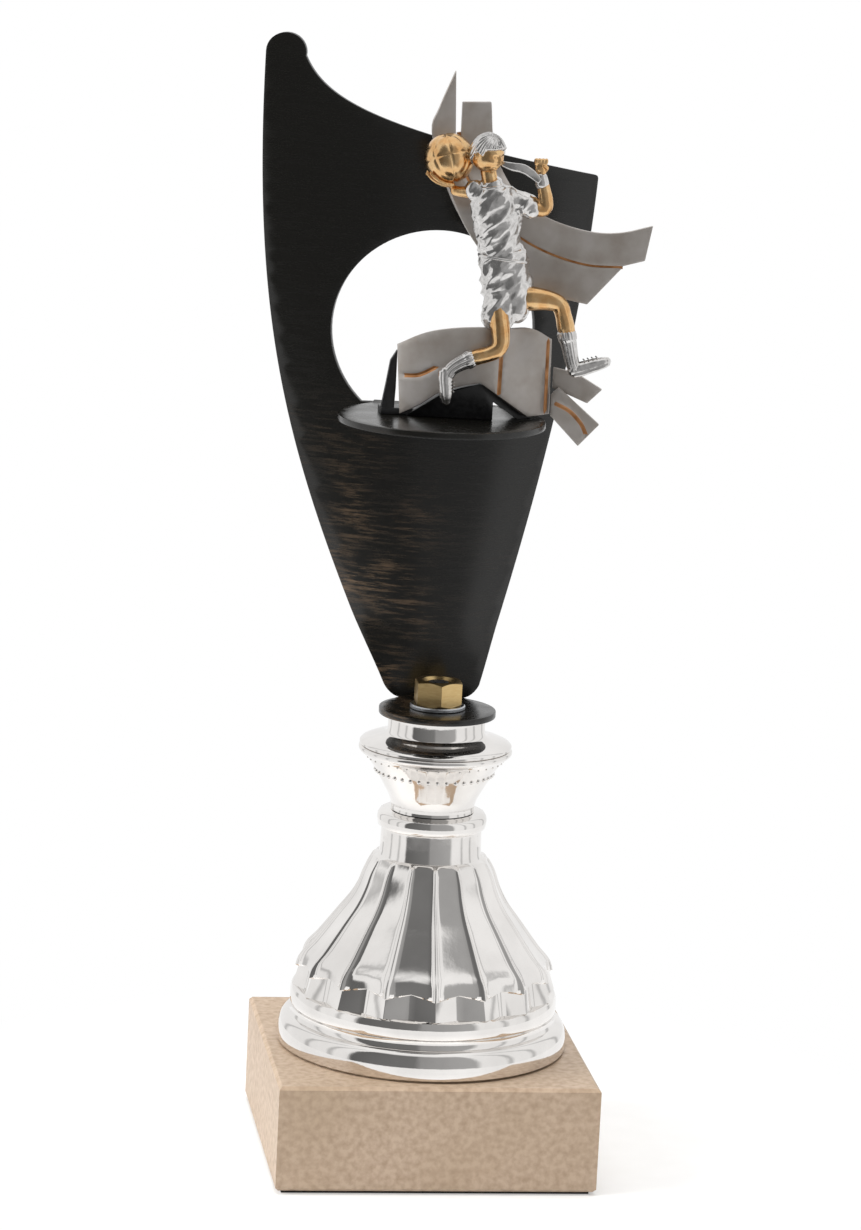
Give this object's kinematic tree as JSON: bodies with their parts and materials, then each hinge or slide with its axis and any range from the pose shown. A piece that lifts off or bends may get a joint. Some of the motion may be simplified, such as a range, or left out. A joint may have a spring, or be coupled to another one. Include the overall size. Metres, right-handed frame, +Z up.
{
  "type": "figure trophy",
  "caption": "Award trophy: marble block, plated fluted riser, bent black sheet cup plate with a folded shelf, and a ball player on curved ribbons.",
  "frame": {"origin": "middle of the underside of the felt sheet, where the trophy rests", "axes": "+Z up along the tie rod, +X to the right as seen from the front, -Y towards the viewer at the front"},
  "size_m": [0.0703, 0.06, 0.2098],
  "materials": {
    "felt": "pressed felt",
    "marble": "honed cream marble with fine grain",
    "steel": "zinc plated",
    "plated_plastic": "mirror bright plating",
    "black_sheet": "black lacquer over brushed sheet",
    "brass": "bright machined",
    "black_cast": "matt black",
    "pewter": "matt pewter with copper lines",
    "plated_figure": "bright silver plating, gilded skin",
    "gold": "bright gold plating"
  },
  "bodies": {
    "root": {"felt_sheet": "felt", "marble_base": "marble", "base_washer": "steel", "base_nut": "steel", "tie_rod": "steel", "riser_bell": "plated_plastic", "riser_cup": "plated_plastic", "top_cap": "plated_plastic", "cup_plate": "black_sheet", "top_washer": "steel", "top_nut": "brass", "figure_screw": "steel", "figure_base": "black_cast", "lower_ribbon": "pewter", "front_tail_ribbon": "pewter", "rear_tail_ribbon": "pewter", "outer_ribbon": "pewter", "inner_ribbon": "pewter", "player": "plated_figure", "ball": "gold"}
  },
  "joints": []
}
